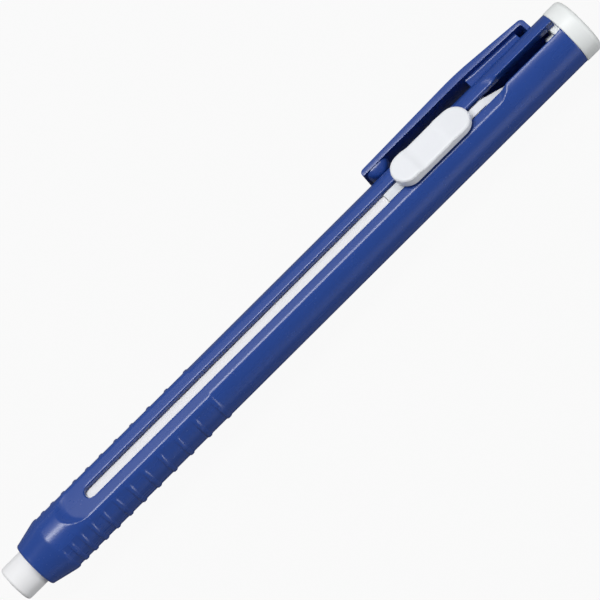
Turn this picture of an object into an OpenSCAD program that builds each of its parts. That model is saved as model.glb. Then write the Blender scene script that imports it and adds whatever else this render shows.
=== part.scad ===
// Retractable eraser: a pen-shaped holder with a slide button, a pocket clip and an end plug.
// Each piece is drawn along +X with the nose face at x = 0, the slot on +Z and the clip on +Y.
// The last step lays the holder on its grip and on the edge of its clip.

/* [Eraser stick] */
// Diameter of the eraser stick
eraser_d = 6.8; // [5.5:0.1:9]
// How far the stick stands out of the nose at rest
eraser_out = 4.6; // [2:0.1:8]
// Rounding of the edge of the stick's tip
tip_round = 0.5; // [0.2:0.1:1]
// How much the jaws squeeze the stick's rear end, on its radius
squeeze = 0.45; // [0.3:0.05:0.6]

/* [Barrel] */
// Length of the barrel
barrel_len = 123.2; // [115:0.1:160]
// Wall round the bore
wall = 1.6; // [1.3:0.05:2.2]
// Length of the tapered nose
nose_len = 4.2; // [2:0.1:5]
// How much the nose draws in from the wall's outside, on its radius
nose_draw = 0.9; // [0.3:0.05:1.1]
// Rounding of the edge of the nose
nose_round = 0.45; // [0.2:0.05:0.5]
// Length of the tight bore in the nose that guides the stick
guide_len = 12; // [6:0.5:13]

/* [Slot and flat] */
// Width of the slot
slot_w = 2.3; // [1.8:0.1:3]
// From the nose face to the front end of the slot
slot_start = 14.3; // [13:0.1:20]
// Wall between the bore and the flat, at its thinnest
lip = 0.68; // [0.6:0.02:0.9]
// From the nose face to the front end of the flat
flat_start = 8.4; // [7:0.1:11]
// From the barrel's rear end to the rear end of the flat
flat_rear = 12.3; // [12:0.1:15]
// Slope of the walls round the flat's two ends, in degrees
flat_slope = 39; // [25:1:60]

/* [Grip] */
// Number of raised ribs
rib_count = 12; // [6:1:14]
// From the nose face to the first rib
rib_first = 5.1; // [4.8:0.1:6]
// Distance from the first rib to the second
rib_gap = 1.95; // [1.7:0.05:2.2]
// How much each distance between ribs grows over the one before
rib_growth = 0.245; // [0.15:0.005:0.3]
// Width of a rib at its top
rib_top = 0.45; // [0.3:0.05:0.6]
// Height of the ribs above the barrel
rib_rise = 0.15; // [0.1:0.01:0.25]
// Depth of the hollows between the ribs
hollow_depth = 0.19; // [0.1:0.01:0.3]
// Share of the way round that the hollows take
hollow_turn = 270; // [180:5:280]

/* [Clip] */
// Length of the clip
clip_len = 36.9; // [33:0.1:40]
// Width of the clip
clip_w = 5; // [4:0.1:6]
// From the barrel's rear end to the clip's end wall
clip_rear = 2.7; // [2:0.1:3]
// Gap between the barrel and the clip
clip_gap = 1.85; // [1.4:0.05:2.5]
// Thickness of the clip at its bend
clip_t = 1.4; // [1:0.05:1.6]
// Thickness of the clip at its tip
clip_tip_t = 1; // [0.8:0.05:1.2]
// Rounding of the clip's tip
clip_tip_round = 0.8; // [0.4:0.1:0.8]
// From the clip's end wall to its bend
clip_bend = 14.3; // [13.5:0.1:16]
// How much the clip falls towards the barrel behind its bend
clip_fall = 1.2; // [0.8:0.05:1.4]
// Thickness of the clip's end wall and of the plate beside it
clip_wall = 0.8; // [0.7:0.05:1]
// Rounding of the clip's rear corner
clip_round = 0.9; // [0.5:0.1:1.2]
// Thickness of the web that carries the clip
web_t = 2.4; // [1:0.1:3]
// Length of the web along the barrel
web_len = 11.4; // [9:0.1:12]
// Length of the bump under the clip's tip, at its base
bump_len = 3.4; // [2.5:0.1:4]
// Width of the bump
bump_w = 3.8; // [1:0.1:4]

/* [Slide button] */
// From the barrel's rear end to the front of the button, at rest
button_rear = 36.65; // [35:0.05:40]
// Length of the button
button_len = 16.35; // [14:0.05:17]
// Width of the button
button_w = 5.5; // [4.5:0.1:6]
// Height of the button's front dome above its underside
button_t = 2.05; // [1.8:0.05:2.4]
// Gap between the button and the flat
button_lift = 0.6; // [0.55:0.05:0.8]
// Rounding of the button's upper rim
button_round = 0.7; // [0.4:0.1:0.9]
// Length of the dome at the button's front
dome_len = 4.2; // [3:0.1:5]
// How far the thumb rest lies below the dome
thumb_depth = 0.3; // [0.1:0.05:0.5]
// Length of the slope behind the thumb rest
slope_len = 5; // [3:0.1:7]
// How far the slope falls to the button's rear edge
slope_fall = 0.5; // [0.2:0.05:0.7]
// How far the rail in the slot reaches out in front of the button
rail_lead = 2.95; // [2:0.05:4]
// How far the rail lies below the flat
rail_drop = 0.43; // [0.3:0.01:0.5]
// How far the rail's sloping tail reaches out behind the button
tail_len = 7.6; // [6.5:0.1:8]
// From the button's rear edge to where the tail starts to slope
tail_flat = 2.8; // [2:0.1:3.2]
// From the button's front edge to the knuckle that it tilts on
pivot_back = 3.25; // [2.8:0.05:4]
// How far the carrier's trough reaches out behind the button
trough_out = 3.9; // [3.6:0.1:4.5]

/* [Latch] */
// Distance from notch to notch, and so of each step of the stick
pitch = 2; // [1.8:0.1:2.4]
// Number of steps that the stick draws back from rest
steps_back = 3; // [1:1:3]
// Plain edge of the lip between the slot and the notches
notch_edge = 0.25; // [0.2:0.05:0.4]
// How far each notch reaches sideways
notch_reach = 1; // [0.8:0.05:1.1]
// Skin between the notches and the flat
notch_skin = 0.55; // [0.4:0.01:0.55]

/* [End plug] */
// Length of the plug's head
plug_head = 3.5; // [2.5:0.1:6]
// How much the head stands out past the barrel, on its radius
plug_lip = 0.1; // [0:0.02:0.15]
// Rounding of the head's end
plug_round = 1; // [0.4:0.1:1.4]
// Length of the wide collar in front of the head
plug_collar = 1.2; // [0.8:0.1:2]
// Length of the thin pin in front of the collar
plug_pin = 1.5; // [1:0.1:3]
// How much thinner the plug's pin is than its collar, on its radius
plug_step = 1.4; // [0.4:0.1:2]

/* [Fits] */
// Radial clearance of the pieces that slide in a bore
slide_fit = 0.1; // [0.05:0.01:0.1]
// Radial clearance of the pieces that are pushed in and stay
push_fit = 0.03; // [0.02:0.01:0.05]
// Clearance round the two bends that flex
bend_fit = 0.1; // [0.05:0.01:0.1]
// Clearance beside the rail, the latch and the stops
side_gap = 0.3; // [0.2:0.05:0.4]

/* [Hidden] */
$fn = 96;
arc_steps = 6;
over = 1;
blue = [0.17, 0.25, 0.62];
rubber_white = [0.95, 0.95, 0.96];
carrier_white = [0.86, 0.88, 0.9];

// The stick and the bores
eraser_r = eraser_d / 2;
neck_r = eraser_r - squeeze;
guide_r = eraser_r + slide_fit;
bore_step = 0.15;
bore_r = guide_r + bore_step;
barrel_r = bore_r + wall;
crest_r = barrel_r + rib_rise;
hollow_r = crest_r - hollow_depth;
nose_r = barrel_r - nose_draw;
rear_round = 0.2;
seam_turn = 174.3;

// The flat and the slot
flat_h = bore_r + lip;
flat_end = barrel_len - flat_rear;
flat_spare = 0.1;
flat_half = sqrt(crest_r * crest_r - flat_h * flat_h) + flat_spare;
flat_from = flat_start + (crest_r - flat_h) / tan(flat_slope) + flat_half;
flat_to = flat_end - (barrel_r - flat_h) / tan(flat_slope) - flat_half;

// The grip
function rib_x(i) = rib_first + i * rib_gap + rib_growth * i * (i - 1) / 2;
rib_slope = 0.3;
grip_end = rib_x(rib_count - 1) + rib_top / 2;

// The slide button and the rail in the slot
rail_w = slot_w - 2 * side_gap;
rail_h = flat_h - rail_drop;
button_x = barrel_len - button_rear;
button_end = button_x + button_len;
button_h = flat_h + button_lift;
rail_front = button_x - rail_lead;
tail_end = button_end + tail_len;

// The carrier: jaws in front, a stop plate, then an open trough for the tongue
sleeve_r = bore_r - slide_fit;
jaw_r = neck_r + slide_fit / 2;
pivot_x = button_x + pivot_back;
pivot_r = 0.6;
pivot_h = rail_h - pivot_r;
jaw_end = pivot_x - pivot_r;
jaw_ring = 1.2;
stop_t = 0.8;
slit_w = 0.5;
slit_end = jaw_end - jaw_ring;
trough_start = jaw_end - side_gap;
trough_drop = 1;
carrier_end = button_end + trough_out;

// The latch: teeth on the tongue, notches under the lips of the slot
notch_inner = slot_w / 2 + notch_edge;
notch_half = notch_inner + notch_reach;
notch_roof = flat_h - notch_skin;
notch_sink = 0.1;
notch_foot = sqrt(bore_r * bore_r - notch_half * notch_half) - notch_sink;
mouth_share = 0.72;
top_share = 0.5;
notch_mouth = mouth_share * pitch;
notch_top = top_share * pitch;
tooth_gap = 0.15;
tooth_mouth = notch_mouth - 2 * tooth_gap;
tooth_top = notch_top - 2 * tooth_gap;
tooth_short = 0.23;
tooth_roof = notch_roof - tooth_short;
tooth_bite = 0.38;
foot_half = notch_half - tooth_gap;
foot_roof = notch_foot - side_gap;
foot_t = 0.4;
tooth_back = 0.9;
tooth_x = button_end + tooth_back;
foot_start = tooth_x - pitch / 2;
foot_end = tooth_x + pitch * 3 / 2;
steps_out = floor((rail_front - slot_start - slot_w) / pitch);

// The clip
clip_in = barrel_r + clip_gap;
clip_out = clip_in + clip_t;
clip_end = barrel_len - clip_rear;
clip_tip = clip_end - clip_len;
bend_x = clip_end - clip_bend;
bend_y = clip_in + clip_t / 2;
rear_out = clip_out - clip_fall;
rear_in = rear_out - clip_wall;
web_lead = 0.5;
web_slope = 0.4;
web_start = bend_x + web_lead;
bump_back = 1;
bump_start = clip_tip + bump_back;

// The plug
plug_r = barrel_r + plug_lip;
collar_r = bore_r - push_fit;
pin_start = barrel_len - plug_collar - plug_pin;

// How the holder lies: on the ribs of its grip and on the lower edge of its clip
half_w = clip_w / 2;
roll = asin(crest_r / norm([clip_out, half_w])) - atan2(half_w, clip_out);
x_mid = (barrel_len + plug_head - eraser_out) / 2;
y_mid = (clip_out * cos(roll) + half_w * sin(roll) - crest_r) / 2;

module laid() {
    translate([-x_mid, -y_mid, crest_r])
        rotate([-roll, 0, 0])
            children();
}

// Points of an arc from angle a to angle b about c
function arc(c, r, a, b) = [for (k = [0:arc_steps]) let (t = a + (b - a) * k / arc_steps)
    [c[0] + r * cos(t), c[1] + r * sin(t)]];

// A solid turned about the X axis from points given as [radius, x]
module turned(points, turn = 360) {
    rotate([0, 90, 0])
        rotate([0, 0, -turn / 2])
            rotate_extrude(angle = turn)
                polygon(points);
}

// A plate drawn in the X-Y plane and centred on z = 0
module plate(points, thick) {
    linear_extrude(thick, center = true)
        polygon(points);
}

// A profile drawn in the X-Z plane and centred on y = 0
module upright(points, thick) {
    rotate([90, 0, 0])
        linear_extrude(thick, center = true)
            polygon(points);
}

// The same profile on both sides, from y = near to y = far
module upright_pair(points, near, far) {
    for (side = [-1, 1])
        translate([0, side * (near + far) / 2, 0])
            upright(points, far - near);
}

module block(x0, x1, half, z0, z1) {
    translate([x0, -half, z0])
        cube([x1 - x0, 2 * half, z1 - z0]);
}

module bore(r, x0, x1) {
    translate([x0, 0, 0])
        rotate([0, 90, 0])
            cylinder(r = r, h = x1 - x0);
}

// The outside of the barrel, turned so that the seams of its faces lie below, beside its line of rest
module barrel_outside() {
    rotate([seam_turn, 0, 0])
        turned(concat(
            [[0, 0]],
            arc([nose_r - nose_round, nose_round], nose_round, -90, 0),
            [[barrel_r, nose_len],
             [crest_r, rib_first - rib_top / 2],
             [crest_r, grip_end],
             [barrel_r, grip_end + rib_slope]],
            arc([barrel_r - rear_round, barrel_len - rear_round], rear_round, 0, 90),
            [[0, barrel_len]]
        ));
}

module grip_hollow(i) {
    x0 = rib_x(i) + rib_top / 2;
    x1 = rib_x(i + 1) - rib_top / 2;
    turned([
        [crest_r + over, x0],
        [crest_r, x0],
        [hollow_r, x0 + rib_slope],
        [hollow_r, x1 - rib_slope],
        [crest_r, x1],
        [crest_r + over, x1]
    ], hollow_turn);
}

// What is cut off for the flat, with a round end that flares at the front and at the rear
module flat_cut() {
    flat_rise = crest_r + over - flat_h;
    block(flat_from, flat_to, crest_r, flat_h, flat_h + flat_rise);
    for (x = [flat_from, flat_to])
        translate([x, 0, flat_h])
            cylinder(h = flat_rise, r1 = flat_half, r2 = flat_half + flat_rise / tan(flat_slope));
}

module slot_cut() {
    linear_extrude(crest_r + over) {
        translate([slot_start + slot_w / 2, 0])
            circle(d = slot_w);
        translate([slot_start + slot_w / 2, -slot_w / 2])
            square([barrel_len, slot_w]);
    }
}

module notches() {
    first = tooth_x - steps_out * pitch;
    last = steps_out + steps_back + 1;
    upright_pair(concat(
        [for (k = [0:last], p = [[-notch_mouth, notch_foot], [-notch_top, notch_roof],
            [notch_top, notch_roof], [notch_mouth, notch_foot]])
            [first + k * pitch + p[0] / 2, p[1]]],
        [[first + last * pitch + notch_mouth / 2, notch_foot - side_gap],
         [first - notch_mouth / 2, notch_foot - side_gap]]
    ), notch_inner, notch_half);
}

module barrel() {
    color(blue)
        laid()
            difference() {
                barrel_outside();
                bore(guide_r, -over, guide_len + over);
                bore(bore_r, guide_len, barrel_len + over);
                slot_cut();
                flat_cut();
                notches();
                for (i = [0:rib_count - 2])
                    grip_hollow(i);
            }
}

module clip_root() {
    color(blue)
        laid()
            difference() {
                union() {
                    plate(concat(
                        [[bend_x, clip_in],
                         [bend_x, clip_out]],
                        arc([clip_end - clip_round, rear_out - clip_round], clip_round, 90, 0),
                        [[clip_end, 0],
                         [clip_end - clip_wall, 0],
                         [clip_end - clip_wall, rear_in]]
                    ), clip_w);
                    plate([
                        [web_start, clip_in],
                        [web_start + web_slope, 0],
                        [web_start + web_len, 0],
                        [web_start + web_len, rear_in + clip_wall / 2]
                    ], web_t);
                }
                bore(barrel_r, 0, barrel_len);
                translate([bend_x, bend_y, 0])
                    cylinder(r = clip_t / 2 + bend_fit, h = clip_w + over, center = true);
            }
}

module clip_arm() {
    color(blue)
        laid() {
            plate(concat(
                [[clip_tip, clip_in]],
                arc([clip_tip + clip_tip_round, clip_in + clip_tip_t - clip_tip_round], clip_tip_round, 180, 90),
                [[bend_x, clip_out],
                 [bend_x, clip_in]]
            ), clip_w);
            translate([bend_x, bend_y, 0])
                cylinder(d = clip_t, h = clip_w, center = true);
            plate([
                [bump_start, clip_in],
                [bump_start + bump_len / 4, barrel_r + side_gap],
                [bump_start + bump_len * 3 / 4, barrel_r + side_gap],
                [bump_start + bump_len, clip_in]
            ], bump_w);
        }
}

module eraser_stick() {
    color(rubber_white)
        laid()
            turned(concat(
                [[0, -eraser_out]],
                arc([eraser_r - tip_round, tip_round - eraser_out], tip_round, -90, 0),
                [[eraser_r, rail_front - bend_fit],
                 [neck_r, rail_front - bend_fit / 2],
                 [neck_r, jaw_end - side_gap / 2],
                 [0, jaw_end - side_gap / 2]]
            ));
}

module carrier() {
    color(carrier_white)
        laid()
            difference() {
                union() {
                    difference() {
                        bore(sleeve_r, rail_front, carrier_end);
                        block(trough_start, carrier_end + over, foot_half + side_gap,
                            foot_roof - foot_t - trough_drop, bore_r);
                    }
                    block(rail_front, pivot_x, rail_w / 2, jaw_r, rail_h);
                }
                bore(jaw_r, rail_front - over, jaw_end);
                bore(jaw_r, jaw_end + stop_t, carrier_end + over);
                block(rail_front - over, slit_end, bore_r, -slit_w / 2, slit_w / 2);
                translate([pivot_x, 0, pivot_h])
                    rotate([90, 0, 0])
                        cylinder(r = pivot_r + bend_fit, h = rail_w + over, center = true);
            }
}

// The button's outline: two round ends and straight sides, with a rounded upper rim
module pill() {
    r = button_w / 2;
    rim = concat(
        [[0, 0], [r, 0]],
        arc([r - button_round, button_t - button_round], button_round, 0, 90),
        [[0, button_t]]
    );
    for (x = [button_x + r, button_end - r])
        translate([x, 0, button_h])
            rotate_extrude()
                polygon(rim);
    for (side = [0, 1])
        mirror([0, side, 0])
            translate([button_x + r, 0, button_h])
                rotate([90, 0, 90])
                    linear_extrude(button_len - 2 * r)
                        polygon(rim);
}

// What is taken off the button's top: a thumb rest behind the dome, then a slope to the rear
module button_relief() {
    top = button_h + button_t;
    rest_start = button_x + dome_len;
    upright([
        [rest_start, top],
        [rest_start + thumb_depth, top - thumb_depth],
        [button_end - slope_len, top - thumb_depth],
        [button_end, top - thumb_depth - slope_fall],
        [button_end + over, top - thumb_depth - slope_fall],
        [button_end + over, top + over],
        [rest_start, top + over]
    ], button_w + over);
}

module latch_tooth(x) {
    upright_pair([
        [x - tooth_mouth / 2, foot_roof - foot_t],
        [x - tooth_mouth / 2, notch_foot],
        [x - tooth_top / 2, tooth_roof],
        [x + tooth_top / 2, tooth_roof],
        [x + tooth_mouth / 2, notch_foot],
        [x + tooth_mouth / 2, foot_roof - foot_t]
    ], notch_inner + tooth_gap, foot_half);
}

module slide_button() {
    tail_t = 1.1;
    tail_fall = 2.4;
    neck_short = 1.9;
    neck_sink = 0.1;
    color(rubber_white)
        laid() {
            difference() {
                pill();
                button_relief();
            }
            block(pivot_x, button_end - neck_short, rail_w / 2, pivot_h, button_h + neck_sink);
            translate([pivot_x, 0, pivot_h])
                rotate([90, 0, 0])
                    cylinder(r = pivot_r, h = rail_w, center = true);
            upright([
                [pivot_x, pivot_h - pivot_r],
                [pivot_x, rail_h],
                [button_end + tail_flat, rail_h],
                [tail_end, rail_h - tail_fall],
                [tail_end, rail_h - tail_fall - tail_t],
                [button_end + tail_flat, pivot_h - pivot_r]
            ], rail_w);
            block(foot_start, foot_end, foot_half, foot_roof - foot_t, foot_roof);
            block(foot_start, foot_end, rail_w / 2, foot_roof - foot_t, pivot_h);
            intersection() {
                for (k = [0, 1])
                    latch_tooth(tooth_x + k * pitch);
                bore(bore_r + tooth_bite, foot_start, foot_end);
            }
        }
}

module end_plug() {
    color(rubber_white)
        laid()
            turned(concat(
                [[0, pin_start],
                 [collar_r - plug_step, pin_start],
                 [collar_r - plug_step, barrel_len - plug_collar],
                 [collar_r, barrel_len - plug_collar],
                 [collar_r, barrel_len],
                 [plug_r, barrel_len]],
                arc([plug_r - plug_round, barrel_len + plug_head - plug_round], plug_round, 0, 90),
                [[0, barrel_len + plug_head]]
            ));
}

barrel();
clip_root();
clip_arm();
eraser_stick();
carrier();
slide_button();
end_plug();
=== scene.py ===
import math

import bmesh
import bpy
from mathutils import Matrix, Vector


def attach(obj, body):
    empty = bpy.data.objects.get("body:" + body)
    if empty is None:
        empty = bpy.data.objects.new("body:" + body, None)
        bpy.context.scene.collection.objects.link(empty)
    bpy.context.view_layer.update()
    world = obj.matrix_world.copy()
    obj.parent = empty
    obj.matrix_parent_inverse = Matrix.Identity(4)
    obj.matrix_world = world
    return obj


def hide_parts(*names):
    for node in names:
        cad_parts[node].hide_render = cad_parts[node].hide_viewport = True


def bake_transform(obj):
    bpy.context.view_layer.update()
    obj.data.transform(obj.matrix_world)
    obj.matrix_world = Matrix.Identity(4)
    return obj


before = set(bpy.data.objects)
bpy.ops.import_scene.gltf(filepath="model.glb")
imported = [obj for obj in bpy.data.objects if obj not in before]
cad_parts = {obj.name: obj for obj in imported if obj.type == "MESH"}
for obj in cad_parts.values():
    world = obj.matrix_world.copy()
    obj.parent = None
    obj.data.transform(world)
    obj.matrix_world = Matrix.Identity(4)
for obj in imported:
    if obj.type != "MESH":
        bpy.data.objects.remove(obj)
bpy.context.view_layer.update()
print("frame loaded:", sorted(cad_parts))

mm = 0.001

# How the holder lies: pieces are drawn in mm along x from the nose, slot up and clip on +y, then rolled
lie = {
    "roll": 21.162319,     # degrees about the barrel
    "middleX": 61.05,
    "middleY": 1.71465,
    "axisHeight": 5.4,
}
rollAngle = math.radians(lie["roll"])
rollCos, rollSin = math.cos(rollAngle), math.sin(rollAngle)

# Limits in mm for cleaning a new mesh, and the columns of a turned piece
cleaning = {
    "mergeGap": 0.002,
    "shortEdge": 0.001,
}
turnedColumns = 96


def place(x, y, z):
    return Vector((
        (x - lie["middleX"]) * mm,
        (y * rollCos + z * rollSin - lie["middleY"]) * mm,
        (z * rollCos - y * rollSin + lie["axisHeight"]) * mm,
    ))


def smoothStep(low, high, value):
    share = min(1, max(0, (value - low) / (high - low)))
    return share * share * (3 - 2 * share)


# The smaller of two numbers, rounded off where they are closer than width
def softMin(first, second, width):
    near = max(width - abs(first - second), 0)
    return min(first, second) - near * near / (4 * width)


# Points on an arc about x, y from a start to an end angle in degrees
def arcPoints(x, y, radius, start, end, steps):
    angles = [math.radians(start + (end - start) * k / steps) for k in range(steps + 1)]
    return [(x + radius * math.cos(angle), y + radius * math.sin(angle)) for angle in angles]


# Evenly spaced numbers in runs, each with a start, a step and a count
def spread(*runs):
    return [start + step * k for start, step, count in runs for k in range(count)]


# Faces between closed rings of points that follow each other in one list
def ringFaces(rings, around, capped=False):
    faces = []
    for i in range(rings - 1):
        here, there = i * around, (i + 1) * around
        for k in range(around):
            n = (k + 1) % around
            faces.append((here + k, here + n, there + n, there + k))
    if capped:
        last = (rings - 1) * around
        faces += [tuple(range(around)), tuple(range(last, last + around))]
    return faces


def addObject(name, data):
    added = bpy.data.objects.new(name, data)
    bpy.context.scene.collection.objects.link(added)
    return added


# Puts a list of points and faces into the scene as one piece
def makePiece(name, points, faces, body, nodes=()):
    mesh = bpy.data.meshes.new(name)
    mesh.from_pydata([place(*point) for point in points], [], faces)
    bm = bmesh.new()
    bm.from_mesh(mesh)
    bmesh.ops.remove_doubles(bm, verts=bm.verts, dist=cleaning["mergeGap"] * mm)
    bmesh.ops.dissolve_degenerate(bm, edges=bm.edges, dist=cleaning["shortEdge"] * mm)
    bmesh.ops.recalc_face_normals(bm, faces=bm.faces)
    bm.to_mesh(mesh)
    bm.free()
    mesh.update()
    piece = addObject(name, mesh)
    if body:
        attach(piece, body)
    for node in nodes:
        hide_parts(node)
    return piece


# Shades a piece smooth, apart from the edges that turn by more than an angle in degrees
def smoothPiece(piece, angle):
    for polygon in piece.data.polygons:
        polygon.use_smooth = True
    bm = bmesh.new()
    bm.from_mesh(piece.data)
    for edge in bm.edges:
        edge.smooth = len(edge.link_faces) == 2 and edge.calc_face_angle(0) < math.radians(angle)
    bm.to_mesh(piece.data)
    bm.free()


def bevelPiece(piece, width, segments, angle):
    bevel = piece.modifiers.new("roundedEdges", "BEVEL")
    bevel.width = width * mm
    bevel.segments = segments
    bevel.limit_method = "ANGLE"
    bevel.angle_limit = math.radians(angle)


# Turns a profile of (x, radius) points, which starts and ends on the barrel's axis, about that axis
def turnedPiece(name, profile, body, nodes):
    points = []
    for x, radius in profile:
        for k in range(turnedColumns):
            angle = 2 * math.pi * k / turnedColumns
            points.append((x, radius * math.sin(angle), radius * math.cos(angle)))
    return makePiece(name, points, ringFaces(len(profile), turnedColumns), body, nodes)


# The barrel, with its ribs, flat, slot and the notches under the slot's lips
barrel = {
    "length": 123.2,
    "radius": 5.25,
    "crest": 5.4,          # radius over the ribs
    "crestFall": 0.45,     # length over which it falls to the plain radius behind them
    "hollow": 5.21,        # radius between the ribs
    "hollowTurn": 135,     # the hollows reach about this many degrees each way from the back
    "hollowLead": 2.75,    # and grow to their depth from this many degrees beyond that
    "hollowFade": 11,      # to this many inside it
    "noseLength": 4.2,
    "noseRadius": 4.35,
    "noseRound": 0.45,
    "noseSoft": 0.08,      # how softly the nose's cone meets the body
    "noseRing": 0.1,       # a ring on the nose's face lies this far inside its rounding
    "mouthRound": 0.12,
    "mouthMiddle": 0.035,  # the middle point of the guide's rounded mouth
    "guideRadius": 3.5,
    "guideLength": 12,
    "boreRadius": 3.65,
    "boreChamfer": 0.1,
    "rearRound": 0.2,
    "ribCount": 12,
    "ribFirst": 5.1,
    "ribGap": 1.95,
    "ribGrowth": 0.245,
    "ribTop": 0.45,
    "ribSlope": 0.3,
    "flatHeight": 4.33,
    "flatStart": 8.4,
    "flatEnd": 110.9,
    "flatHalf": 3.327,     # radius of the flat's round ends
    "flatSlope": 39,       # degrees that the walls round its ends climb
    "flatSoft": 0.03,      # square mm, how softly the walls leave the flat
    "flatCrown": 0.1,      # how much the flat's middle stands above its long edges
    "scoop": 0.9,          # how far inside its round ends the flat begins to curve up
    "edgeSoft": 0.22,
    "slotHalf": 1.15,
    "slotStart": 14.3,
    "slotRim": 0.12,
    "rimWide": 0.4,        # the lips dip towards the slot by rimDip over rimWide
    "rimDip": 0.09,
    "notchFirst": 37.8,
    "notchPitch": 2,
    "notchCount": 38,
    "notchMouth": 0.72,    # shares of the pitch
    "notchTop": 0.5,
    "notchFoot": 2.65,
    "notchRoof": 3.78,
    "notchInner": 1.4,
    "notchOuter": 2.4,
    "smoothAngle": 28,
}
ribX = []
for rib in range(barrel["ribCount"]):
    ribX.append(barrel["ribFirst"] + rib * barrel["ribGap"] + barrel["ribGrowth"] * rib * (rib - 1) / 2)
gripEnd = ribX[-1] + barrel["ribTop"] / 2
slotRound = barrel["slotStart"] + barrel["slotHalf"]

# Where the rings of the outside are cut down to the flat
flatReach = {
    "front": 5,
    "rear": barrel["length"] - 0.4,
    "angle": 1.3,          # radians from the top
    "rounds": 4,
    "farthest": 9,
    "slotSlack": 0.01,
}

# How far from the slot's front end the mesh rows bend round it: along the barrel, then across it
rowBend = {
    "ahead": 2,
    "behind": 3.2,
    "edge": 0.1,
    "side": 2.6,
}

# Mesh rows along the barrel, as runs with a start, a step and a count
noseRun = (barrel["noseRound"], 0.3, 14)    # its first row is the end of the nose's own arc
fineStep = 0.15
ribRunStart, ribRunEnd = 4.5, gripEnd + 0.9
barrelRuns = [
    (ribRunStart, fineStep, int((ribRunEnd - ribRunStart) / fineStep)),
    (barrel["flatEnd"] - 4, fineStep, 38),
    (112.6, 0.95, 11),
    (122.8, 0, 1),
]
rowGap = 0.05              # the least distance between two of these rows

# Mesh columns: y values over the flat, then shares of the angle from there to the back
topY = [0.29, 0.58, 0.87, 1.04, 1.15, 1.17, 1.21, 1.27, 1.33]
topY += [1.395, 1.405, 1.43, 1.65, 1.9, 2.15, 2.395, 2.405, 2.6]
topY = [-y for y in reversed(topY)] + [0] + topY
sideShares = spread((0, 0.006, 13))[1:] + [0.085, 0.105, 0.13, 0.155] + spread((0.18, 0.0256, 32))


# 1 on top of a rib, 0 in the hollow between two
def ribShape(x):
    nearest = min(abs(x - middle) for middle in ribX)
    return 1 - smoothStep(0, 1, (nearest - barrel["ribTop"] / 2) / barrel["ribSlope"])


# Radius of the turned body at x, on an angle from the top of the slot
def turnedRadius(x, base, angle):
    if not ribX[0] < x < ribX[-1]:
        return base
    start = 180 - barrel["hollowTurn"]
    share = smoothStep(start - barrel["hollowLead"], start + barrel["hollowFade"], abs(math.degrees(angle)))
    return base - share * (barrel["crest"] - barrel["hollow"]) * (1 - ribShape(x))


# Height of the flat at x, y: slightly crowned, with walls that climb round its two ends
def flatHeight(x, y):
    half = barrel["flatHalf"]
    climb = math.tan(math.radians(barrel["flatSlope"]))
    front = barrel["flatStart"] + (barrel["crest"] - barrel["flatHeight"]) / climb + half
    rear = barrel["flatEnd"] - (barrel["radius"] - barrel["flatHeight"]) / climb - half
    outside = math.hypot(x - min(max(x, front), rear), y) - half
    crown = barrel["flatCrown"] * max(0, 1 - (y / half) ** 2)
    wall = climb * 0.5 * (outside + math.sqrt(outside * outside + barrel["flatSoft"]))
    rise = barrel["crest"] - barrel["flatHeight"]
    scoop = rise * (max(0, outside + barrel["scoop"]) / (rise / climb + barrel["scoop"])) ** 2
    # towards the two ends the scoop takes the place of the plain wall
    share = smoothStep(0, half, max(front - x, x - rear))
    return barrel["flatHeight"] + crown + wall + share * (scoop - wall)


# Distance from the axis to the flat at an angle from the top, found in a few rounds
def flatRadius(x, angle, radius):
    for turn in range(flatReach["rounds"]):
        height = flatHeight(x, radius * math.sin(angle))
        radius = min(height / math.cos(angle), flatReach["farthest"])
    return radius


# How far the slot's rim lies under the flat at x, y
def rimDrop(x, y):
    side = abs(y) if x > slotRound else math.hypot(x - slotRound, y)
    away = max(side - barrel["slotHalf"], 0)
    dip = barrel["rimDip"] * max(0, 1 - away / barrel["rimWide"]) ** 2
    rim = barrel["slotRim"]
    rest = max(rim - away, 0)
    return dip + rim - math.sqrt(rim * rim - rest * rest)


# Height of the notches' roofs under the lips, as a wave of trapezia along x
def notchRoof(x, y):
    pitch = barrel["notchPitch"]
    first = barrel["notchFirst"]
    last = first + pitch * (barrel["notchCount"] - 1)
    if not barrel["notchInner"] < abs(y) < barrel["notchOuter"]:
        return 0
    if not first - pitch / 2 < x < last + pitch / 2:
        return 0
    step = abs((x - first + pitch / 2) % pitch - pitch / 2)
    half = pitch * barrel["notchMouth"] / 2
    top = pitch * barrel["notchTop"] / 2
    share = min(1, max(0, (half - step) / (half - top)))
    return barrel["notchFoot"] + share * (barrel["notchRoof"] - barrel["notchFoot"])


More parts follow.
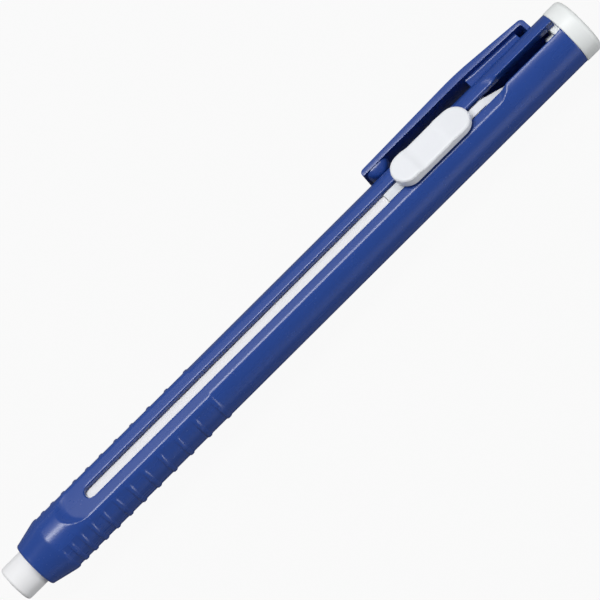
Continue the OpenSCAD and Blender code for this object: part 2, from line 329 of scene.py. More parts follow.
# Pairs of x and outer radius along the barrel, from the mouth of its guide to its bore at the rear
def barrelRows():
    guide, mouth, middle = barrel["guideRadius"], barrel["mouthRound"], barrel["mouthMiddle"]
    noseRound = barrel["noseRound"]
    noseFace = barrel["noseRadius"] - noseRound
    rows = [(mouth, guide), (middle, guide + middle), (0, guide + mouth), (0, noseFace - barrel["noseRing"])]
    rows += arcPoints(noseRound, noseFace, noseRound, start=180, end=90, steps=8)
    climb = (barrel["radius"] - barrel["noseRadius"]) / (barrel["noseLength"] - noseRound)
    xs = spread(noseRun)[1:] + spread(*barrelRuns)
    for k in range(barrel["notchCount"]):
        notchX = barrel["notchFirst"] + k * barrel["notchPitch"]
        for share in (-barrel["notchMouth"], -barrel["notchTop"], barrel["notchTop"], barrel["notchMouth"]):
            xs.append(notchX + share * barrel["notchPitch"] / 2)
    xs.sort()
    kept = [xs[0]]
    for x in xs[1:]:
        if x - kept[-1] > rowGap:
            kept.append(x)
    for x in kept:
        fall = 1 - smoothStep(gripEnd, gripEnd + barrel["crestFall"], x)
        body = barrel["radius"] + (barrel["crest"] - barrel["radius"]) * fall
        rows.append((x, softMin(body, barrel["noseRadius"] + climb * (x - noseRound), barrel["noseSoft"])))
    length, rearRound, chamfer = barrel["length"], barrel["rearRound"], barrel["boreChamfer"]
    rows += arcPoints(length - rearRound, barrel["radius"] - rearRound, rearRound, start=90, end=0, steps=4)
    rows += [(length, barrel["boreRadius"] + chamfer), (length - chamfer, barrel["boreRadius"])]
    return rows


# The rows bend round the slot's front end, so that its outline is a half circle
def rowWarp(x):
    start = barrel["slotStart"]
    if x < start:
        return smoothStep(start - rowBend["ahead"], start, x)
    return 1 - smoothStep(start, start + rowBend["behind"], x)


def columnWarp(y):
    half = barrel["slotHalf"]
    if abs(y) <= half:
        return half - math.sqrt(half * half - y * y)
    return half * (1 - smoothStep(half + rowBend["edge"], rowBend["side"], abs(y)))


# A whole ring: its top, one side, its lowest point and the other side
def wholeRing(x, top, side, back):
    return top + side + [(x, 0, -back)] + [(sideX, -y, z) for sideX, y, z in reversed(side)]


# One ring of the outside: the columns at the top keep their y, the others share out the angle
def outerRing(x, base):
    warp = rowWarp(x)
    top = []
    for y in topY:
        bentX = x + warp * columnWarp(y)
        radius = turnedRadius(bentX, base, math.asin(y / base))
        z = math.sqrt(radius * radius - y * y)
        if flatReach["front"] < bentX < flatReach["rear"]:
            z = softMin(z, flatHeight(bentX, y), barrel["edgeSoft"])
            if x > barrel["slotStart"] - flatReach["slotSlack"]:
                z -= rimDrop(bentX, y)
        top.append((bentX, y, z))
    edge = math.atan2(top[-1][1], top[-1][2])
    side = []
    for share in sideShares:
        angle = edge + (math.pi - edge) * share
        radius = turnedRadius(x, base, angle)
        if flatReach["front"] < x < flatReach["rear"] and angle < flatReach["angle"]:
            radius = softMin(radius, flatRadius(x, angle, radius), barrel["edgeSoft"])
        side.append((x, radius * math.sin(angle), radius * math.cos(angle)))
    return wholeRing(x, top, side, turnedRadius(x, base, math.pi))


def innerRing(x):
    warp = rowWarp(x)
    radius = barrel["guideRadius"] if x < barrel["guideLength"] else barrel["boreRadius"]
    top = []
    for y in topY:
        z = max(math.sqrt(radius * radius - y * y), notchRoof(x, y))
        top.append((x + warp * columnWarp(y), y, z))
    edge = math.atan2(topY[-1], math.sqrt(radius * radius - topY[-1] ** 2))
    side = []
    for share in sideShares:
        angle = edge + (math.pi - edge) * share
        side.append((x, radius * math.sin(angle), radius * math.cos(angle)))
    return wholeRing(x, top, side, radius)


def buildBarrel():
    rows = barrelRows()
    slotRow = min(range(len(rows)), key=lambda i: abs(rows[i][0] - barrel["slotStart"]))
    rows[slotRow] = (barrel["slotStart"], rows[slotRow][1])
    rings = [outerRing(x, radius) for x, radius in rows]
    rings += [innerRing(x) for x, radius in rows]
    points = [point for ring in rings for point in ring]
    count, around = len(rows), len(rings[0])
    base = count * around
    left, right = topY.index(-barrel["slotHalf"]), topY.index(barrel["slotHalf"])

    def inSlot(i, j):
        return i >= slotRow and left <= j < right

    # the outer and the inner skin, open at the slot
    faces = []
    for i in range(count - 1):
        here, there = i * around, (i + 1) * around
        for j in range(around):
            n = (j + 1) % around
            if not inSlot(i, j):
                faces.append((here + j, here + n, there + n, there + j))
                faces.append(tuple(base + k for k in faces[-1]))
    # the slot's two side walls and its front wall
    for i in range(slotRow, count - 1):
        here, there = i * around, (i + 1) * around
        for j in (left, right):
            faces.append((here + j, there + j, base + there + j, base + here + j))
    for j in range(left, right):
        k = slotRow * around + j
        faces.append((k, k + 1, base + k + 1, base + k))
    # the barrel's front and rear ends
    last = (count - 1) * around
    for j in range(around):
        n = (j + 1) % around
        faces.append((j, n, base + n, base + j))
        if not inSlot(count - 1, j):
            faces.append((last + j, last + n, base + last + n, base + last + j))
    piece = makePiece("barrel_shell", points, faces, "barrel", ["barrel"])
    smoothPiece(piece, barrel["smoothAngle"])
    return piece


barrelShell = buildBarrel()
print("barrel:", len(barrelShell.data.polygons), "faces")

# The pocket clip, with the web that carries it and the bump under its tip
clip = {
    "half": 2.5,
    "tip": 83.6,
    "tipRound": 0.8,
    "inside": 7.1,
    "tipThick": 1,
    "bend": 106.2,
    "outside": 8.57,
    "bendSoft": 0.35,
    "sideDip": 0.12,       # the side faces dip by this over the inner part of the thickness
    "dipShare": 0.55,
    "end": 120.5,
    "rearOut": 7.3,
    "wall": 0.8,
    "rearRound": 0.9,
    "innerRound": 0.45,
    "innerSink": 0.42,
    "wallMiddle": 5.4,
    "foot": 4.75,
    "edge": 0.4,
    "runs": [(85, 1.5, 13), (104, 0.4, 12), (109, 1.2, 9)],    # mesh rows: start, step and count
    "across": (-1, -0.5, 0, 0.5, 1),
    "webHalf": 1.2,
    "webStart": 106.7,
    "webEnd": 118.1,
    "webSteps": 12,
    "webLevels": [0, 0.04, 0.1, 0.18, 0.3, 0.7, 0.82, 0.9, 0.96, 1],
    "webFoot": 5.0,
    "webBite": 0.1,        # how far it reaches into the clip
    "webFlare": 0.35,
    "flareShare": 0.25,    # share of the web's height that flares at each end
    "flareLead": 1.6,      # length from its front over which the flare grows
    "webEdge": 0.12,
    "bumpStart": 84.0,
    "bumpLength": 4.6,
    "bumpHalf": 2.15,
    "bumpSteps": 24,
    "bumpPower": 0.6,      # rounds the bump's outline to a soft rectangle
    "bumpCore": 0.35,      # share of its width that doesn't narrow with its length
    "bumpLevels": [        # distance from the clip's inner line and share of the length
        (-0.3, 1.0), (0, 1.0), (0.3, 0.93), (0.65, 0.82), (1.0, 0.68), (1.3, 0.52), (1.5, 0.3), (1.55, 0.08),
    ],
}


# The clip's inner line: level in front of the bend and falling behind it
def clipInnerLine(x):
    share = max(0, (x - clip["bend"]) / (clip["end"] - clip["wall"] - clip["bend"]))
    return clip["inside"] + share * (clip["rearOut"] - clip["wall"] - clip["inside"])


# Pairs of points on the clip's inner and outer line, from the tip to the foot of its end wall
def clipStations():
    tipRound, rearRound, wall = clip["tipRound"], clip["rearRound"], clip["wall"]
    tipX, tipY = clip["tip"] + tipRound, clip["inside"] + clip["tipThick"] - tipRound
    tip = arcPoints(tipX, tipY, tipRound, start=180, end=90, steps=6)
    stations = [((x, clip["inside"]), (x, y)) for x, y in tip]
    startX, startY = tip[-1]

    def outerLine(x):
        front = (x - startX) / (clip["bend"] - startX)
        rear = (x - clip["bend"]) / (clip["end"] - rearRound - clip["bend"])
        rising = startY + front * (clip["outside"] - startY)
        falling = clip["outside"] + rear * (clip["rearOut"] - clip["outside"])
        return softMin(rising, falling, clip["bendSoft"])

    stations += [((x, clipInnerLine(x)), (x, outerLine(x))) for x in spread(*clip["runs"])]
    innerX = clip["end"] - wall - clip["innerRound"]
    innerY = clip["rearOut"] - wall - clip["innerSink"]
    outerX, outerY = clip["end"] - rearRound, clip["rearOut"] - rearRound
    innerCorner = arcPoints(innerX, innerY, clip["innerRound"], start=90, end=0, steps=6)
    outerCorner = arcPoints(outerX, outerY, rearRound, start=90, end=0, steps=6)
    stations += list(zip(innerCorner, outerCorner))
    stations += [((clip["end"] - wall, y), (clip["end"], y)) for y in (clip["wallMiddle"], clip["foot"])]
    return stations


def buildClip():
    stations = clipStations()
    half, share, across = clip["half"], clip["dipShare"], clip["across"]
    innerHalf = half - clip["sideDip"]
    points = []
    for (innerX, innerY), (outerX, outerY) in stations:
        middleX, middleY = innerX + share * (outerX - innerX), innerY + share * (outerY - innerY)
        points += [(innerX, innerY, innerHalf * k) for k in across] + [(middleX, middleY, half)]
        points += [(outerX, outerY, half * k) for k in reversed(across)] + [(middleX, middleY, -half)]
    faces = ringFaces(len(stations), 2 * len(across) + 2, capped=True)
    piece = makePiece("pocket_clip", points, faces, None, ["clip_root", "clip_arm"])
    bevelPiece(piece, clip["edge"], segments=3, angle=40)
    smoothPiece(piece, angle=40)
    return piece


# The web between the clip and the barrel, flared where it meets them
def buildWeb():
    start, foot, levels = clip["webStart"], clip["webFoot"], clip["webLevels"]
    length, steps, flareShare = clip["webEnd"] - start, clip["webSteps"], clip["flareShare"]
    points, faces = [], []
    for k in range(steps + 1):
        x = start + length * k / steps
        top = clipInnerLine(x) + clip["webBite"]
        flare = clip["webFlare"] * smoothStep(0, clip["flareLead"], x - start)
        for level in levels:
            y = foot + (top - foot) * level
            low = max(0, 1 - level / flareShare)
            high = max(0, (level - (1 - flareShare)) / flareShare)
            half = clip["webHalf"] + flare * (low ** 2 + high ** 2)
            points += [(x, y, -half), (x, y, half)]
    n = 2 * len(levels)
    for i in range(steps):
        for j in range(len(levels) - 1):
            for side in (0, 1):
                first = i * n + 2 * j + side
                faces.append((first, first + 2, first + n + 2, first + n))
        for j in (0, n - 2):
            first = i * n + j
            faces.append((first, first + 1, first + n + 1, first + n))
    for i in (0, steps):
        for j in range(len(levels) - 1):
            first = i * n + 2 * j
            faces.append((first, first + 1, first + 3, first + 2))
    piece = makePiece("clip_web", points, faces, "barrel")
    bevelPiece(piece, clip["webEdge"], segments=2, angle=50)
    smoothPiece(piece, angle=40)
    return piece


# Takes the sine or cosine of a circle to that of a soft rectangle
def softSquare(value):
    return math.copysign(abs(value) ** clip["bumpPower"], value)


# The bump under the clip's tip, which presses on the pocket
def buildBump():
    steps, core = clip["bumpSteps"], clip["bumpCore"]
    points = []
    for drop, share in clip["bumpLevels"]:
        for k in range(steps):
            angle = 2 * math.pi * k / steps
            x = clip["bumpStart"] + clip["bumpLength"] / 2 * (1 + share * softSquare(math.cos(angle)))
            z = clip["bumpHalf"] * (core + (1 - core) * share) * softSquare(math.sin(angle))
            points.append((x, clip["inside"] - drop, z))
    faces = ringFaces(len(clip["bumpLevels"]), steps, capped=True)
    piece = makePiece("clip_bump", points, faces, "clip")
    smoothPiece(piece, angle=50)
    return piece


pocketClip = buildClip()
clipWeb = buildWeb()
clipBump = buildBump()
print("clip: 3 pieces")

# The slide button, with its tongue and the latch teeth
button = {
    "start": 86.55,
    "end": 102.9,
    "half": 2.75,
    "foot": 4.93,
    "domeTop": 2.05,       # heights above the foot
    "restTop": 1.75,
    "rearTop": 1.25,
    "dome": 4.2,
    "domeLead": 0.35,      # the dome falls from this far in front of its end
    "domeRun": 0.5,        # to this far behind it
    "slope": 5,
    "dish": 0.13,
    "dishFront": 1.2,
    "dishRear": 1,
    "rim": 0.45,
    "rimSteps": 8,
    "topShares": (0, 0.3, 0.6, 0.85, 1),
    "footSteps": [(0, 0.35), (0, 0.12), (0.04, 0.03), (0.12, 0)],    # inset and height above the foot
    "footMiddle": 1.2,
    "endSteps": 20,
    "sideSteps": 26,
    "pivotX": 89.8,
    "pivotZ": 3.3,
    "pivotRadius": 0.6,
    "neckLead": 0.01,
    "neckBite": 0.1,       # how far the neck reaches into the cap
    "neckEnd": 101,
    "railTop": 3.9,
    "tailHalf": 0.78,
    "tailFlat": 105.7,
    "tailEnd": 110.5,
    "tailFall": 2.4,
    "tailThick": 1.1,
    "tailEdge": 0.1,
    "footHalf": 2.25,
    "footStart": 102.8,
    "footEnd": 106.8,
    "footTop": 2.35,
    "footThick": 0.4,
    "postHalf": 0.8,
    "toothX": 103.8,
    "toothPitch": 2,
    "toothMouth": 1.14,
    "toothTop": 0.7,
    "toothFoot": 2.65,
    "toothRoof": 3.53,
    "toothInner": 1.55,
    "toothOuter": 1.9,
}


# Height of the button's top along its length: a dome, a dished rest, then a slope
def buttonTop(x):
    restStart, slopeStart = button["start"] + button["dome"], button["end"] - button["slope"]
    fall = smoothStep(restStart - button["domeLead"], restStart + button["domeRun"], x)
    height = button["domeTop"] - (button["domeTop"] - button["restTop"]) * fall
    height -= (button["restTop"] - button["rearTop"]) * max(0, (x - slopeStart) / button["slope"])
    inRest = smoothStep(restStart, restStart + button["dishFront"], x)
    inRest *= 1 - smoothStep(slopeStart - button["dishRear"], slopeStart, x)
    return height - button["dish"] * inRest


# Outline about the button's middle line with two straight sides and round ends of a radius
def stadium(radius):
    front, rear = button["start"] + button["half"], button["end"] - button["half"]
    turns, steps = button["endSteps"], button["sideSteps"]
    angles = [math.pi * k / turns for k in range(turns + 1)]
    ring = [(rear + radius * math.sin(angle), radius * math.cos(angle)) for angle in angles]
    ring += [(rear + (front - rear) * k / steps, -radius) for k in range(1, steps)]
    ring += [(front - radius * math.sin(angle), -radius * math.cos(angle)) for angle in angles]
    ring += [(front + (rear - front) * k / steps, radius) for k in range(1, steps)]
    return ring


def buildButton():
    half, rim, foot = button["half"], button["rim"], button["foot"]
    rings = [((half - rim) * share, 0) for share in button["topShares"]]
    for k in range(1, button["rimSteps"] + 1):
        angle = math.radians(90 * k / button["rimSteps"])
        rings.append((half - rim + rim * math.sin(angle), rim * (1 - math.cos(angle))))
    points = []
    for radius, drop in rings:
        points += [(x, y, foot + buttonTop(x) - drop) for x, y in stadium(radius)]
    lower = [(half - inset, level) for inset, level in button["footSteps"]]
    lower += [(button["footMiddle"], 0), (0, 0)]
    for radius, level in lower:
        points += [(x, y, foot + level) for x, y in stadium(radius)]
    faces = ringFaces(len(rings) + len(lower), len(stadium(half)))
    piece = makePiece("slide_button_cap", points, faces, "button", ["slide_button"])
    smoothPiece(piece, angle=50)
    return piece


# A closed prism from an x, z outline between two y values
def addPrism(points, faces, outline, y0, y1):
    start = len(points)
    n = len(outline)
    points += [(x, y0, z) for x, z in outline] + [(x, y1, z) for x, z in outline]
    faces.append(tuple(start + k for k in range(n)))
    faces.append(tuple(start + n + k for k in reversed(range(n))))
    for k in range(n):
        m = (k + 1) % n
        faces.append((start + k, start + m, start + n + m, start + n + k))


# The tongue: a round pivot, a neck under the cap and a tail that falls towards the bore
def buildTongue():
    points, faces = [], []
    pivotX, pivotZ, pivotRadius = button["pivotX"], button["pivotZ"], button["pivotRadius"]
    neckTop, tailTop = button["foot"] + button["neckBite"], button["railTop"] - button["tailFall"]
    outline = arcPoints(pivotX, pivotZ, pivotRadius, start=270, end=90, steps=10) + [
        (pivotX + button["neckLead"], neckTop),
        (button["neckEnd"], neckTop),
        (button["neckEnd"], button["railTop"]),
        (button["tailFlat"], button["railTop"]),
        (button["tailEnd"], tailTop),
        (button["tailEnd"], tailTop - button["tailThick"]),
        (button["tailFlat"], pivotZ - pivotRadius),
    ]
    addPrism(points, faces, outline, -button["tailHalf"], button["tailHalf"])
    piece = makePiece("button_tongue", points, faces, "button")
    bevelPiece(piece, button["tailEdge"], segments=2, angle=40)
    smoothPiece(piece, angle=40)
    return piece


# The latch: a foot plate, a post that joins it to the tongue and two pairs of teeth
def buildTeeth():
    points, faces = [], []
    start, end = button["footStart"], button["footEnd"]
    base, foot, roof = button["footTop"] - button["footThick"], button["toothFoot"], button["toothRoof"]
    for top, half in ((button["footTop"], button["footHalf"]), (button["pivotZ"], button["postHalf"])):
        outline = [(start, base), (start, top), (end, top), (end, base)]
        addPrism(points, faces, outline, -half, half)
    mouth, top = button["toothMouth"] / 2, button["toothTop"] / 2
    for x in (button["toothX"], button["toothX"] + button["toothPitch"]):
        outline = [(x - mouth, base), (x - mouth, foot), (x - top, roof)]
        outline += [(x + top, roof), (x + mouth, foot), (x + mouth, base)]
        for side in (-1, 1):
            addPrism(points, faces, outline, side * button["toothInner"], side * button["toothOuter"])
    piece = makePiece("latch_teeth", points, faces, "button")
    smoothPiece(piece, angle=30)
    return piece


buttonCap = buildButton()
buttonTongue = buildTongue()
latchTeeth = buildTeeth()
print("button: 3 pieces")

# The eraser stick, with the neck that the jaws hold
stick = {
    "radius": 3.4,
    "tip": -4.6,
    "tipRound": 0.5,
    "tipRings": (0, 1.2, 2.2),
    "rows": (-3.5, -2, -0.5, 1, 8, 20, 40, 60, 75, 82),
    "shoulder": 83.5,
    "neckStart": 83.55,
    "neckRadius": 2.95,
    "neckChamfer": 0.2,
    "end": 89.05,
}


def buildStick():
    tip, radius, tipRound = stick["tip"], stick["radius"], stick["tipRound"]
    neck, chamfer, end = stick["neckRadius"], stick["neckChamfer"], stick["end"]
    profile = [(tip, ring) for ring in stick["tipRings"]]
    profile += arcPoints(tip + tipRound, radius - tipRound, tipRound, start=180, end=90, steps=8)
    profile += [(x, radius) for x in (*stick["rows"], stick["shoulder"])]
    profile += [(stick["neckStart"], neck), (end - chamfer, neck), (end, neck - chamfer), (end, 0)]
    piece = turnedPiece("eraser_stick_body", profile, "eraser", ["eraser_stick"])
    smoothPiece(piece, angle=40)
    return piece


# The end plug: a pin, a collar inside the barrel and a cap behind it
plug = {
    "radius": 5.35,
    "collar": 3.62,
    "collarChamfer": 0.1,
    "pin": 2.22,
    "pinChamfer": 0.25,
    "pinFoot": [(0.3, 0), (0.1, 0.05), (0, 0.2)],        # in front of the collar and out from the pin
    "pinStart": 120.5,
    "collarStart": 122,
    "seat": 123.2,
    "seatRound": [(0, 0.12), (0.04, 0.04), (0.12, 0)],    # behind the seat and in from the cap's radius
    "end": 126.7,
    "round": 1,
    "endRings": (3, 1.5, 0),
}


def buildPlug():
    radius, seat, end, endRound = plug["radius"], plug["seat"], plug["end"], plug["round"]
    pin, pinStart, pinChamfer = plug["pin"], plug["pinStart"], plug["pinChamfer"]
    collar, collarStart, collarChamfer = plug["collar"], plug["collarStart"], plug["collarChamfer"]
    profile = [(pinStart, 0), (pinStart, pin - pinChamfer), (pinStart + pinChamfer, pin)]
    profile += [(collarStart - ahead, pin + out) for ahead, out in plug["pinFoot"]]
    profile += [(collarStart, collar - collarChamfer), (collarStart + collarChamfer, collar), (seat, collar)]
    profile += [(seat + behind, radius - inward) for behind, inward in plug["seatRound"]]
    profile += arcPoints(end - endRound, radius - endRound, endRound, start=90, end=0, steps=10)
    profile += [(end, ring) for ring in plug["endRings"]]
    piece = turnedPiece("end_plug_cap", profile, "plug", ["end_plug"])
    smoothPiece(piece, angle=40)
    return piece


eraserStick = buildStick()
endPlug = buildPlug()
print("stick and plug: 2 pieces")


# Gives a material or a world an empty node tree
def emptyTree(owner):
    owner.use_nodes = True
    owner.node_tree.nodes.clear()
    return owner.node_tree


# Sets an input to a value, or links another node's output to it
def feed(tree, socket, value):
    if isinstance(value, bpy.types.NodeSocket):
        tree.links.new(value, socket)
    else:
        socket.default_value = value


def newNode(tree, kind, sockets=None, **settings):
    node = tree.nodes.new(kind)
    for name, value in settings.items():
        setattr(node, name, value)
    for name, value in (sockets or {}).items():
        feed(tree, node.inputs[name], value)
    return node


def mathNode(tree, operation, first, second, clamp=False):
    sockets = {0: first, 1: second}
    return newNode(tree, "ShaderNodeMath", sockets, operation=operation, use_clamp=clamp).outputs[0]


# Maps a span of a value to the numbers from low to high, level outside it
def rangeNode(tree, value, span, low=0, high=1, kind="LINEAR"):
    sockets = {"Value": value, "From Min": span[0], "From Max": span[1], "To Min": low, "To Max": high}
    return newNode(tree, "ShaderNodeMapRange", sockets, interpolation_type=kind).outputs[0]


def newGroup(name, inputs, outputs):
    group = bpy.data.node_groups.new(name, "ShaderNodeTree")
    for label, kind, value in inputs:
        group.interface.new_socket(label, in_out="INPUT", socket_type=kind).default_value = value
    for label, kind in outputs:
        group.interface.new_socket(label, in_out="OUTPUT", socket_type=kind)
    return group, group.nodes.new("NodeGroupInput"), group.nodes.new("NodeGroupOutput")


# Moulded skin: slow changes of tone, a fine grain and faint flow lines along the barrel
skinLook = {
    "slowScale": 160,
    "slowDetail": 3,
    "flowStretch": (60, 900, 900),
    "flowScale": 1,
    "flowDetail": 2,
    "flowShare": 0.5,
    "grainDetail": 2,
    "noiseMiddle": 0.5,
}


def mouldedSkinGroup():
    group, into, out = newGroup(
        "mouldedSkin",
        [("Color", "NodeSocketColor", (0.5, 0.5, 0.5, 1)), ("Tone Change", "NodeSocketFloat", 0.05),
         ("Roughness", "NodeSocketFloat", 0.35), ("Roughness Change", "NodeSocketFloat", 0.05),
         ("Grain Size", "NodeSocketFloat", 3000.0), ("Grain Depth", "NodeSocketFloat", 0.1)],
        [("Color", "NodeSocketColor"), ("Roughness", "NodeSocketFloat"), ("Height", "NodeSocketFloat")])
    onPiece = newNode(group, "ShaderNodeTexCoord").outputs["Object"]
    slow = newNode(group, "ShaderNodeTexNoise", {
        "Vector": onPiece,
        "Scale": skinLook["slowScale"],
        "Detail": skinLook["slowDetail"],
    })
    stretch = newNode(group, "ShaderNodeMapping", {"Vector": onPiece, "Scale": skinLook["flowStretch"]})
    flow = newNode(group, "ShaderNodeTexNoise", {
        "Vector": stretch.outputs["Vector"],
        "Scale": skinLook["flowScale"],
        "Detail": skinLook["flowDetail"],
    })
    grain = newNode(group, "ShaderNodeTexNoise", {
        "Vector": onPiece,
        "Scale": into.outputs["Grain Size"],
        "Detail": skinLook["grainDetail"],
    })
    centred = mathNode(group, "SUBTRACT", slow.outputs["Fac"], skinLook["noiseMiddle"])
    streak = mathNode(group, "SUBTRACT", flow.outputs["Fac"], skinLook["noiseMiddle"])
    mixed = mathNode(group, "ADD", centred, mathNode(group, "MULTIPLY", streak, skinLook["flowShare"]))
    tone = mathNode(group, "ADD", mathNode(group, "MULTIPLY", mixed, into.outputs["Tone Change"]), 1.0)
    sockets = {0: into.outputs["Color"], "Scale": tone}
    shade = newNode(group, "ShaderNodeVectorMath", sockets, operation="SCALE")
    change = mathNode(group, "MULTIPLY", mixed, into.outputs["Roughness Change"])
    rough = mathNode(group, "ADD", into.outputs["Roughness"], change, clamp=True)
    height = mathNode(group, "MULTIPLY", grain.outputs["Fac"], into.outputs["Grain Depth"])
    feed(group, out.inputs["Color"], shade.outputs[0])
    feed(group, out.inputs["Roughness"], rough)
    feed(group, out.inputs["Height"], height)
    return group


# Handling dust: sparse pale specks that take the shine off the finish
dustLook = {
    "patchScale": 300,
    "speck": (0.22, 0.08),    # distances from the middle of a cell where a speck begins and where it is full
    "patch": (0.5, 0.75),     # levels of the noise where the patches begin and where they are full
}
mixSockets = {"share": 0, "first": 6, "second": 7, "result": 2}    # places of the sockets for mixing colours


def dustGroup():
    group, into, out = newGroup(
        "handlingDust",
        [("Color", "NodeSocketColor", (0.5, 0.5, 0.5, 1)),
         ("Dust Color", "NodeSocketColor", (0.7, 0.7, 0.7, 1)),
         ("Amount", "NodeSocketFloat", 0.1), ("Speck Size", "NodeSocketFloat", 1500.0)],
        [("Color", "NodeSocketColor"), ("Mask", "NodeSocketFloat")])
    onPiece = newNode(group, "ShaderNodeTexCoord").outputs["Object"]
    cells = newNode(group, "ShaderNodeTexVoronoi", {"Vector": onPiece, "Scale": into.outputs["Speck Size"]})
    noise = newNode(group, "ShaderNodeTexNoise", {"Vector": onPiece, "Scale": dustLook["patchScale"]})
    speck = rangeNode(group, cells.outputs["Distance"], dustLook["speck"])
    patch = rangeNode(group, noise.outputs["Fac"], dustLook["patch"])
    specks = mathNode(group, "MULTIPLY", speck, patch)
    mask = mathNode(group, "MULTIPLY", specks, into.outputs["Amount"], clamp=True)
    mix = newNode(group, "ShaderNodeMix", data_type="RGBA")
    feed(group, mix.inputs[mixSockets["share"]], mask)
    feed(group, mix.inputs[mixSockets["first"]], into.outputs["Color"])
    feed(group, mix.inputs[mixSockets["second"]], into.outputs["Dust Color"])
    feed(group, out.inputs["Color"], mix.outputs[mixSockets["result"]])
    feed(group, out.inputs["Mask"], mask)
    return group


mouldedSkin = mouldedSkinGroup()
handlingDust = dustGroup()


# A screen colour of 0 to 255 a channel as linear light
def linear(red, green, blue):
    def channel(value):
        value /= 255
        return value / 12.92 if value <= 0.04045 else ((value + 0.055) / 1.055) ** 2.4
    return (channel(red), channel(green), channel(blue), 1)


plainFinish = {
    "toneChange": 0.03,
    "roughness": 0.45,
    "roughnessChange": 0.08,
    "grainSize": 2600.0,
    "grainDepth": 0.25,
    "bump": 0.06,
    "dust": 0.05,
    "specular": 0.5,
    "coat": 0.0,
    "coatRoughness": 0.3,
}
# What differs from the plain finish in each material
finishes = {
    "barrelPlastic": {
        "color": linear(35, 69, 146), "toneChange": 0.10, "roughness": 0.27, "roughnessChange": 0.10,
        "bump": 0.10, "dust": 0.06, "coatRoughness": 0.25,
    },
    "eraserRubber": {
        "color": linear(240, 240, 241), "roughness": 0.62, "roughnessChange": 0.10, "grainSize": 1800.0,
        "grainDepth": 0.6, "bump": 0.18, "dust": 0.06, "specular": 0.35,
    },
    "buttonPlastic": {"color": linear(236, 238, 242), "roughness": 0.38, "coat": 0.1},
    "plugPlastic": {"color": linear(240, 243, 242), "roughness": 0.42, "coat": 0.05},
    "carrierPlastic": {"color": linear(222, 226, 230), "dust": 0.03},
}
skinInputs = {
    "Color": "color",
    "Tone Change": "toneChange",
    "Roughness": "roughness",
    "Roughness Change": "roughnessChange",
    "Grain Size": "grainSize",
    "Grain Depth": "grainDepth",
}
shaderInputs = {
    "Specular IOR Level": "specular",
    "Coat Weight": "coat",
    "Coat Roughness": "coatRoughness",
}
bumpDistance = 0.05    # mm


def makeMaterial(name):
    finish = {**plainFinish, **finishes[name]}
    material = bpy.data.materials.new(name)
    tree = emptyTree(material)
    shader = newNode(tree, "ShaderNodeBsdfPrincipled")
    newNode(tree, "ShaderNodeOutputMaterial", {"Surface": shader.outputs[0]})
    skin = newNode(tree, "ShaderNodeGroup", node_tree=mouldedSkin)
    for label, key in skinInputs.items():
        skin.inputs[label].default_value = finish[key]
    dust = newNode(tree, "ShaderNodeGroup", node_tree=handlingDust)
    dust.inputs["Amount"].default_value = finish["dust"]
    tree.links.new(skin.outputs["Color"], dust.inputs["Color"])
    tree.links.new(dust.outputs["Color"], shader.inputs["Base Color"])
    rough = mathNode(tree, "ADD", skin.outputs["Roughness"], dust.outputs["Mask"], clamp=True)
    tree.links.new(rough, shader.inputs["Roughness"])
    bump = newNode(tree, "ShaderNodeBump", {
        "Strength": finish["bump"],
        "Distance": bumpDistance * mm,
        "Height": skin.outputs["Height"],
    })
    tree.links.new(bump.outputs["Normal"], shader.inputs["Normal"])
    for label, key in shaderInputs.items():
        shader.inputs[label].default_value = finish[key]
    return material


materials = {name: makeMaterial(name) for name in finishes}


def dress(piece, name):
    piece.data.materials.clear()
    piece.data.materials.append(materials[name])


for piece in (barrelShell, pocketClip, clipWeb, clipBump):
    dress(piece, "barrelPlastic")
for piece in (buttonCap, buttonTongue, latchTeeth):
    dress(piece, "buttonPlastic")
dress(eraserStick, "eraserRubber")
dress(endPlug, "plugPlastic")
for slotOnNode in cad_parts["carrier"].material_slots:
    slotOnNode.material = materials["carrierPlastic"]
print("materials:", len(materials))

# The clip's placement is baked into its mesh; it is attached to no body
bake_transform(pocketClip)

# Camera, light and floor
studio = {
    "tilt": 9.84,          # degrees that the camera leans from straight above, away from the clip
    "turn": 44.85,         # angle of the barrel in the picture
    "distance": 0.549,
    "lens": 200,
    "sensor": 36,
    "clipping": (0.01, 10),
    "aimX": 61.8,
    "aimUp": 0.19,
    "panelDistance": 0.9,
    "ceiling": 0.22,       # brightness of the room overhead
    "horizon": 0.3,        # and near the horizon
    "horizonSpan": (0.05, 0.5),    # how steeply a ray climbs where it is like the horizon and the ceiling
    "roomTint": (0.95, 0.97, 1, 1),
    "floorHalf": 1.5,
    "floorTone": 0.22,
    "floorWhite": 0.94,    # share of plain white where the floor is shown white
    "farWhite": (0.03, 0.25),      # metres over which a mirrored floor turns from matt to white
}
# Soft panels across the barrel: angle from the camera towards the clip, place along it, size and power
panels = {
    "keyPanel": {"angle": 35, "along": -0.12, "size": (0.24, 0.5), "power": 5.0},
    "rearPanel": {"angle": 34, "along": 0.26, "size": (0.24, 0.2), "power": 1.3},
    "flatPanel": {"angle": 60, "along": -0.09, "size": (0.3, 0.3), "power": 0.35},
    "fillPanel": {"angle": -76, "along": 0.42, "size": (0.7, 0.8), "power": 1.5},
    "ribPanel": {"angle": -58, "along": 0.8, "size": (0.9, 0.3), "power": 4.0},
}
tilt = math.radians(studio["tilt"])
toCamera = Vector((0, -math.sin(tilt), math.cos(tilt)))
alongBarrel = Vector((1, 0, 0))
towardClip = toCamera.cross(alongBarrel)
aim = place(studio["aimX"], 0, 0) + towardClip * studio["aimUp"] * mm


# Puts a camera or a light at a position, with its right, top and back facing the given ways
def setUp(item, position, right, up, back):
    turned = Matrix((right, up, back)).transposed().to_4x4()
    turned.translation = position
    item.matrix_world = turned


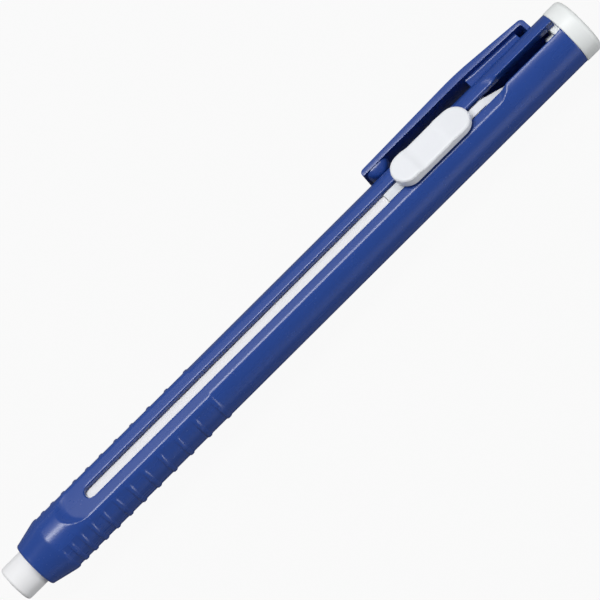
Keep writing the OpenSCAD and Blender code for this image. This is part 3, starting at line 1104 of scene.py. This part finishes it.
def addCamera():
    turn = math.radians(studio["turn"])
    right = alongBarrel * math.cos(turn) - towardClip * math.sin(turn)
    up = alongBarrel * math.sin(turn) + towardClip * math.cos(turn)
    data = bpy.data.cameras.new("camera")
    data.lens = studio["lens"]
    data.sensor_width = studio["sensor"]
    data.clip_start, data.clip_end = studio["clipping"]
    camera = addObject("camera", data)
    setUp(camera, aim + toCamera * studio["distance"], right, up, toCamera)
    bpy.context.scene.camera = camera


def addPanel(name):
    panel = panels[name]
    angle = math.radians(panel["angle"])
    direction = toCamera * math.cos(angle) + towardClip * math.sin(angle)
    data = bpy.data.lights.new(name, "AREA")
    data.shape = "RECTANGLE"
    data.size, data.size_y = panel["size"]
    data.energy = panel["power"]
    position = aim + direction * studio["panelDistance"] + alongBarrel * panel["along"]
    facing = (position - aim).normalized()
    across = alongBarrel.cross(facing).normalized()
    setUp(addObject(name, data), position, across, facing.cross(across), facing)


# White to the camera and in far reflections, and plain matt close to the holder
def addFloor():
    half = studio["floorHalf"]
    mesh = bpy.data.meshes.new("floor")
    corners = [(-half, -half, 0), (half, -half, 0), (half, half, 0), (-half, half, 0)]
    mesh.from_pydata(corners, [], [(0, 1, 2, 3)])
    floor = addObject("floor", mesh)
    material = bpy.data.materials.new("paleFloor")
    tree = emptyTree(material)
    tone = studio["floorTone"]
    matt = newNode(tree, "ShaderNodeBsdfDiffuse", {"Color": (tone, tone, tone, 1)})
    white = newNode(tree, "ShaderNodeEmission", {"Strength": 1})
    light = newNode(tree, "ShaderNodeLightPath")
    mirrored = mathNode(tree, "MAXIMUM", light.outputs["Is Glossy Ray"], light.outputs["Is Transmission Ray"])
    far = rangeNode(tree, light.outputs["Ray Length"], studio["farWhite"], kind="SMOOTHSTEP")
    farMirrored = mathNode(tree, "MULTIPLY", mirrored, far)
    seen = mathNode(tree, "MAXIMUM", light.outputs["Is Camera Ray"], farMirrored)
    share = mathNode(tree, "MULTIPLY", seen, studio["floorWhite"])
    mix = newNode(tree, "ShaderNodeMixShader", {0: share, 1: matt.outputs[0], 2: white.outputs[0]})
    newNode(tree, "ShaderNodeOutputMaterial", {"Surface": mix.outputs[0]})
    mesh.materials.append(material)


# A room that is dim overhead and pale near the horizon, and plain white to the camera
def addWorld():
    world = bpy.data.worlds.new("studioWorld")
    bpy.context.scene.world = world
    tree = emptyTree(world)
    coords = newNode(tree, "ShaderNodeTexCoord")
    split = newNode(tree, "ShaderNodeSeparateXYZ", {0: coords.outputs["Generated"]})
    level = rangeNode(tree, split.outputs["Z"], studio["horizonSpan"], studio["horizon"], studio["ceiling"],
                      kind="SMOOTHSTEP")
    room = newNode(tree, "ShaderNodeBackground", {"Color": studio["roomTint"], "Strength": level})
    white = newNode(tree, "ShaderNodeBackground", {"Color": (1, 1, 1, 1)})
    light = newNode(tree, "ShaderNodeLightPath")
    sockets = {0: light.outputs["Is Camera Ray"], 1: room.outputs[0], 2: white.outputs[0]}
    mix = newNode(tree, "ShaderNodeMixShader", sockets)
    newNode(tree, "ShaderNodeOutputWorld", {"Surface": mix.outputs[0]})


addCamera()
for panelName in panels:
    addPanel(panelName)
addFloor()
addWorld()
bpy.context.scene.view_settings.view_transform = "Standard"
print("camera, light and floor are in place")
